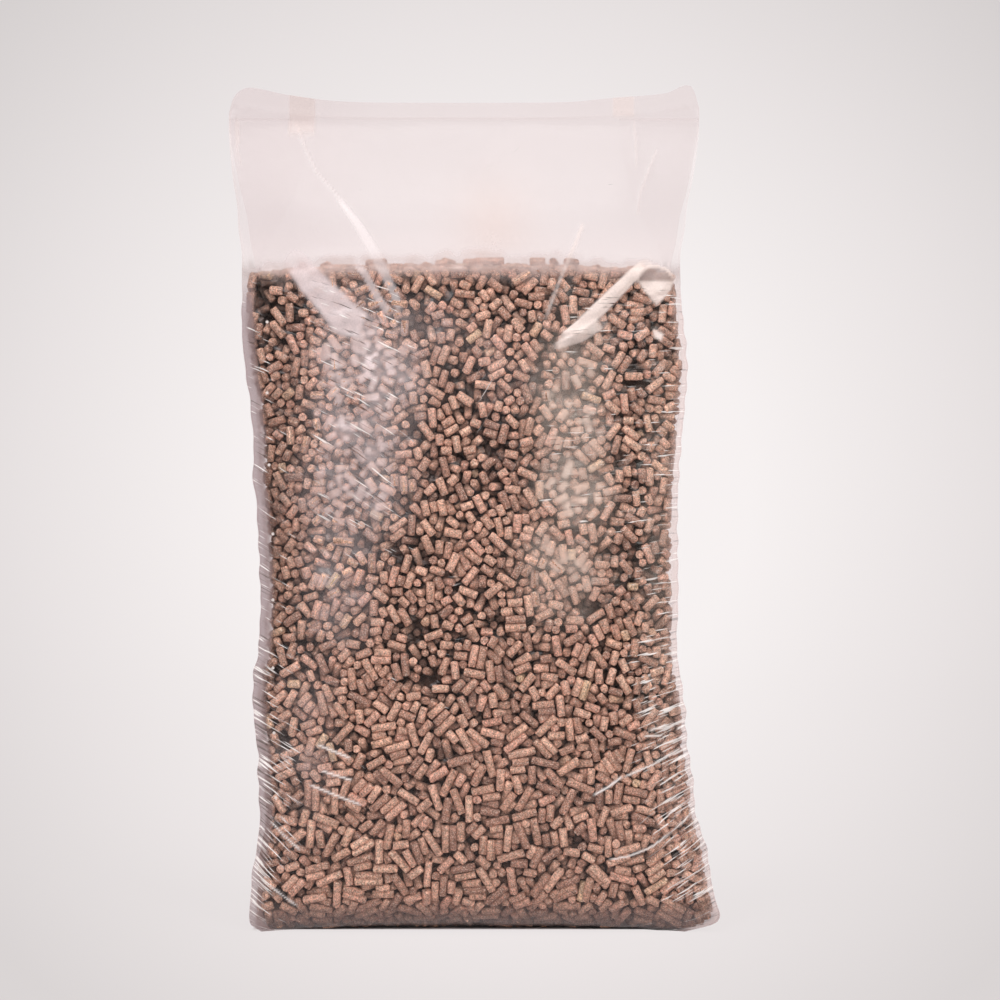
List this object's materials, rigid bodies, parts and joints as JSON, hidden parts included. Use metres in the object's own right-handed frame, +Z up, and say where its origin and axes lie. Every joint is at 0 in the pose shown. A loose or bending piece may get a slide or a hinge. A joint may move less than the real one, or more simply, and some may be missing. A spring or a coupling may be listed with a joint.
{
  "type": "cat litter bag",
  "caption": "Clear side-gusset film bag, welded along the top and filled with brown pressed-wood litter pellets, standing upright on its base.",
  "frame": {"origin": "on the floor, under the middle of the bag", "axes": "+Z up the bag to its weld, +X to the right as seen from the front, -Y out of the front"},
  "size_m": [0.3495, 0.1442, 0.6033],
  "materials": {
    "clear_film": "milky clear, glossy",
    "pressed_wood": "bare, matt"
  },
  "bodies": {
    "root": {"film_bag": "clear_film", "litter_fill": "pressed_wood", "pellet_01": "pressed_wood", "pellet_02": "pressed_wood", "pellet_03": "pressed_wood", "pellet_04": "pressed_wood", "pellet_05": "pressed_wood", "pellet_06": "pressed_wood", "pellet_07": "pressed_wood", "pellet_08": "pressed_wood", "pellet_09": "pressed_wood", "pellet_10": "pressed_wood", "pellet_11": "pressed_wood", "pellet_12": "pressed_wood", "pellet_13": "pressed_wood", "pellet_14": "pressed_wood", "pellet_15": "pressed_wood", "pellet_16": "pressed_wood", "pellet_17": "pressed_wood", "pellet_18": "pressed_wood", "pellet_19": "pressed_wood", "pellet_20": "pressed_wood", "pellet_21": "pressed_wood", "pellet_22": "pressed_wood", "pellet_23": "pressed_wood", "pellet_24": "pressed_wood", "pellet_25": "pressed_wood", "pellet_26": "pressed_wood", "pellet_27": "pressed_wood", "pellet_28": "pressed_wood", "pellet_29": "pressed_wood", "pellet_30": "pressed_wood", "pellet_31": "pressed_wood", "pellet_32": "pressed_wood"}
  },
  "joints": []
}
